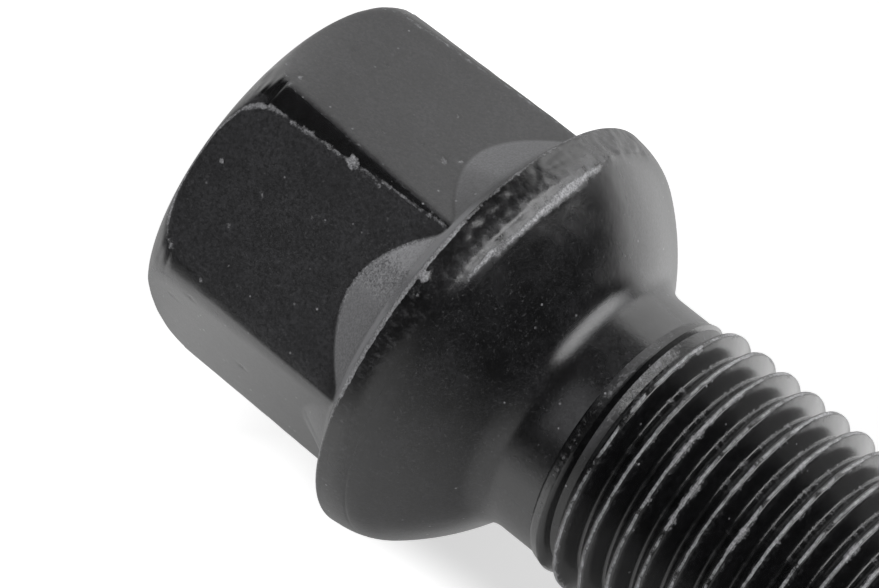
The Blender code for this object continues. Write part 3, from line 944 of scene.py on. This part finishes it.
def white_paper():
    """Uncoated white paper with a partly painted shadow, and painted light and shade that reflections see."""
    finish = settings()[2]
    material = bpy.data.materials.new("matte_white_paper")
    material.use_nodes = True
    tree = material.node_tree
    tree.nodes.clear()
    smooth = {"interpolation_type": "SMOOTHSTEP"}

    # Uncoated fibre scatters light evenly, so the eye sees a flat white with no gloss. A black flag and lit
    # stretches are painted on the paper as painted shade and painted light, which only the bolt's reflections
    # see.
    path = add_node(tree, "ShaderNodeLightPath").outputs
    place = add_node(tree, "ShaderNodeTexCoord").outputs["Object"]
    part = {}
    for name, (aside, start, full) in PAPER_PARTS.items():
        turn = NEAR_TURN + radians(aside)
        reach = add_node(tree, VECTOR_MATH, (place, (cos(turn), sin(turn), 0.0)), operation="DOT_PRODUCT")
        part[name] = add_node(tree, RANGE, (reach, start * MM, full * MM), **smooth)

    # Painted shade: the paper that the bolt's front reflects is drawn near black, as a black flag by the
    # camera would make it
    distance = add_node(tree, VECTOR_MATH, (place,), operation="LENGTH")
    painted_flag_turn = NEAR_TURN + radians(PAINTED_FLAG_ASIDE)
    to_painted_flag = (cos(painted_flag_turn), sin(painted_flag_turn), 0.0)
    ahead = add_node(tree, VECTOR_MATH, (place, to_painted_flag), operation="DOT_PRODUCT")
    cosine = add_node(tree, MATH, (ahead, distance), operation="DIVIDE")
    turned_to = add_node(tree, RANGE, (cosine, *PAINTED_FLAG_COSINES), **smooth)
    painted_flag_area = add_node(tree, MATH, (part["before the bolt"], turned_to), operation="MULTIPLY")
    painted_flag = add_node(tree, MATH, (path["Is Glossy Ray"], painted_flag_area), operation="MULTIPLY")
    paper = add_node(tree, MIX, (painted_flag, times(finish.floor), times(finish.floor, 0.04)), data_type="RGBA")

    # Painted light: reflections see the paper glow brightest close to the bolt's left and far behind on the
    # right
    close = add_node(tree, RANGE, (distance, 11 * MM, 38 * MM, 0.44, 0.05), **smooth)
    lit_left = add_node(tree, MATH, (close, part["left half"]), operation="MULTIPLY")
    lit_behind = add_node(tree, MATH, (part["far behind"], 0.4), operation="MULTIPLY")
    lit = add_node(tree, MATH, (lit_left, lit_behind), operation="ADD")
    lit_paper = add_node(tree, MATH, (lit, 0.07), operation="ADD")
    outside_painted_flag = add_node(tree, MATH, (path["Is Glossy Ray"], painted_flag), operation="SUBTRACT")
    mirrored = add_node(tree, MATH, (outside_painted_flag, lit_paper), operation="MULTIPLY")

    # The camera sees the paper's shadow beside and behind the bolt, deepened by a painted shadow of dimmer
    # glow, and plain white before it, where the glow paints the shadow out as painted light
    seen = add_node(tree, MATH, (path["Is Camera Ray"], path["Is Transmission Ray"]), operation="MAXIMUM")
    near_right = add_node(tree, MATH, (part["not behind"], part["past the right"]), operation="MAXIMUM")
    near_sides = add_node(tree, MATH, (near_right, part["past the left"]), operation="MAXIMUM")
    far_sides = add_node(tree, MATH, (part["not far behind"], part["past the left"]), operation="MAXIMUM")
    unshaded = add_node(tree, MATH, (near_sides, far_sides), operation="ADD")
    plain = add_node(tree, MATH, (unshaded, 0.31, 0.31), operation="MULTIPLY_ADD")
    shine = add_node(tree, MATH, (seen, plain, mirrored), operation="MULTIPLY_ADD")
    shader = add_node(
        tree,
        "ShaderNodeBsdfPrincipled",
        {
            "Base Color": paper,
            "Roughness": 0.9,
            "Specular IOR Level": 0.1,
            "Emission Color": (1.0, 1.0, 1.0, 1.0),
            "Emission Strength": shine,
        },
    )
    add_node(tree, "ShaderNodeOutputMaterial", {"Surface": shader})
    return material


# The dim room, and its bright walls as (aside, cosines where the light starts and is full, radiance)
ROOM_RADIANCE = 0.02
BRIGHT_WALLS = ((207.0, 0.6, 0.95, 1.5), (95.0, 0.1, 1.0, 0.38))


def studio_world():
    """White to the camera. Light comes from behind and from the left, and the room by the camera is dark."""
    world = bpy.data.worlds.new("studio")
    world.use_nodes = True
    tree = world.node_tree
    tree.nodes.clear()
    way = add_node(tree, "ShaderNodeTexCoord").outputs["Generated"]
    light = ROOM_RADIANCE
    for aside, start, full, radiance in BRIGHT_WALLS:
        turn = NEAR_TURN + radians(aside)
        facing = add_node(tree, VECTOR_MATH, (way, (cos(turn), sin(turn), 0.0)), operation="DOT_PRODUCT")
        levels = (facing, start, full, 0.0, radiance)
        wall = add_node(tree, RANGE, levels, interpolation_type="SMOOTHSTEP")
        light = add_node(tree, MATH, (light, wall), operation="ADD")
    path = add_node(tree, "ShaderNodeLightPath").outputs
    seen = add_node(tree, MATH, (path["Is Camera Ray"], path["Is Transmission Ray"]), operation="MAXIMUM")
    strength = add_node(tree, MATH, (light, seen), operation="MAXIMUM")
    white = (1.0, 1.0, 1.0, 1.0)
    background = add_node(tree, "ShaderNodeBackground", {"Color": white, "Strength": strength})
    add_node(tree, "ShaderNodeOutputWorld", {"Surface": background})
    return world


# The point on the axis that the lamps are aimed at
AIM_HEIGHT = 16 * MM

# Lamps as (name, aside, degrees above the floor, distance, size in metres, radiance, whether reflected)
LAMPS = (
    ("key", -56.0, 22.5, 0.35, (0.5, 0.18), 1.75, True),
    ("fill", -10.0, 38.0, 0.5, (0.22, 0.22), 7.0, False),
)


def soft_box(name, aside, height, distance, size, radiance, reflected):
    """A rectangular lamp aimed at the bolt."""
    lamp = bpy.data.lights.new(name, "AREA")
    lamp.shape = "RECTANGLE"
    lamp.size, lamp.size_y = size
    lamp.energy = radiance * pi * size[0] * size[1]
    holder = bpy.data.objects.new(name, lamp)
    bpy.context.scene.collection.objects.link(holder)
    turn = NEAR_TURN + radians(aside)
    rise = radians(height)
    way = Vector((cos(turn) * cos(rise), sin(turn) * cos(rise), sin(rise)))
    place = Matrix.Translation(Vector((0.0, 0.0, AIM_HEIGHT)) + way * distance)
    holder.matrix_world = place @ way.to_track_quat("Z", "Y").to_matrix().to_4x4()
    holder.visible_glossy = reflected


def photograph_camera():
    """The camera at the photograph's viewing angle.

    The axis, the near side and the flank of the bolt are first set in the photograph's own directions.
    """
    axis = Vector((cos(AXIS_TILT) * cos(AXIS_TURN), cos(AXIS_TILT) * sin(AXIS_TURN), -sin(AXIS_TILT)))
    near = (Vector((0.0, 0.0, -1.0)) - axis * -axis.z).normalized()
    side = axis.cross(near)
    turn = Matrix.Rotation(NEAR_TURN, 3, "Z")
    seen = Matrix((near, side, axis))
    columns = [turn @ (seen @ Vector(way)) for way in ((1, 0, 0), (0, -1, 0), (0, 0, -1))]
    data = bpy.data.cameras.new("photograph")
    data.sensor_width = 36.0
    data.lens = LENS_LENGTH
    data.clip_start = 0.01
    data.clip_end = 100.0
    camera = bpy.data.objects.new("photograph", data)
    bpy.context.scene.collection.objects.link(camera)
    placed = Matrix(columns).transposed().to_4x4()
    placed.translation = CAMERA_PLACE
    camera.matrix_world = placed
    bpy.context.scene.camera = camera


class WHEELBOLT_OT_head(Operator):
    """Model the hexagon head, collar, ball seat and neck"""

    bl_idname = "wheel_bolt.head"
    bl_label = "Head and Collar"

    def execute(self, context):
        head, thread, _ = settings()
        at = places(head, thread)
        outline, rim_start = head_profile(head, thread, at)
        solid = turned(outline)
        shape_head(solid, head, at, rim_start)
        mark_head(solid)
        finished("forged_head", solid)
        return {"FINISHED"}


# How far the thread's foot lies below the start of the run-out, inside the neck
FOOT_DEPTH = 1.4 * MM


class WHEELBOLT_OT_shank(Operator):
    """Model the threaded shank"""

    bl_idname = "wheel_bolt.shank"
    bl_label = "Threaded Shank"

    def execute(self, context):
        head, thread, _ = settings()
        at = places(head, thread)
        foot_z = at.run_out_z - FOOT_DEPTH
        solid = swept_thread(thread, at, foot_z - thread.pitch, at.tip_z + thread.pitch)
        roughen_thread(solid, at)
        trim_thread(solid, thread, at)
        for height, outwards in ((foot_z, -1.0), (at.tip_z, 1.0)):
            bmesh.ops.bisect_plane(
                solid,
                geom=solid.verts[:] + solid.edges[:] + solid.faces[:],
                dist=SAME,
                plane_co=(0.0, 0.0, height),
                plane_no=(0.0, 0.0, outwards),
                clear_outer=True,
            )
        bmesh.ops.holes_fill(solid, edges=solid.edges, sides=0)
        finished("rolled_thread", solid)
        return {"FINISHED"}


# The floor's radius in metres, which reaches past the camera's view
FLOOR_RADIUS = 2.0


class WHEELBOLT_OT_stage(Operator):
    """Set up the paper floor, the lamps, the world and the camera"""

    bl_idname = "wheel_bolt.stage"
    bl_label = "Stage"

    def execute(self, context):
        disc = bmesh.new()
        bmesh.ops.create_circle(disc, cap_ends=True, segments=96, radius=FLOOR_RADIUS)
        mesh = bpy.data.meshes.new("paper_floor")
        disc.to_mesh(mesh)
        disc.free()
        mesh.materials.append(white_paper())
        floor = bpy.data.objects.new("paper_floor", mesh)
        context.scene.collection.objects.link(floor)
        context.scene.world = studio_world()
        for lamp in LAMPS:
            soft_box(*lamp)
        photograph_camera()
        context.scene.view_settings.view_transform = "Standard"
        return {"FINISHED"}


class WHEELBOLT_PT_panel(Panel):
    """Sizes, finish and build steps of the wheel bolt"""

    bl_label = "Wheel Bolt"
    bl_idname = "WHEELBOLT_PT_panel"
    bl_space_type = "VIEW_3D"
    bl_region_type = "UI"
    bl_category = "Wheel Bolt"

    def draw(self, context):
        for group in settings():
            box = self.layout.box()
            for name in group.__annotations__:
                box.prop(group, name)
        for operator in (WHEELBOLT_OT_head, WHEELBOLT_OT_shank, WHEELBOLT_OT_stage):
            self.layout.operator(operator.bl_idname)


CLASSES = (
    WheelBoltHeadSizes,
    WheelBoltThreadSizes,
    WheelBoltFinish,
    WHEELBOLT_OT_head,
    WHEELBOLT_OT_shank,
    WHEELBOLT_OT_stage,
    WHEELBOLT_PT_panel,
)


def register():
    for cls in CLASSES:
        bpy.utils.register_class(cls)
    bpy.types.Scene.wheel_bolt_head = PointerProperty(type=WheelBoltHeadSizes)
    bpy.types.Scene.wheel_bolt_thread = PointerProperty(type=WheelBoltThreadSizes)
    bpy.types.Scene.wheel_bolt_finish = PointerProperty(type=WheelBoltFinish)


def unregister():
    del bpy.types.Scene.wheel_bolt_finish
    del bpy.types.Scene.wheel_bolt_thread
    del bpy.types.Scene.wheel_bolt_head
    for cls in reversed(CLASSES):
        bpy.utils.unregister_class(cls)


def main():
    """Build the bolt and its stage."""
    register()
    bpy.ops.wheel_bolt.head()
    bpy.ops.wheel_bolt.shank()
    bpy.ops.wheel_bolt.stage()


if __name__ == "__main__":
    main()
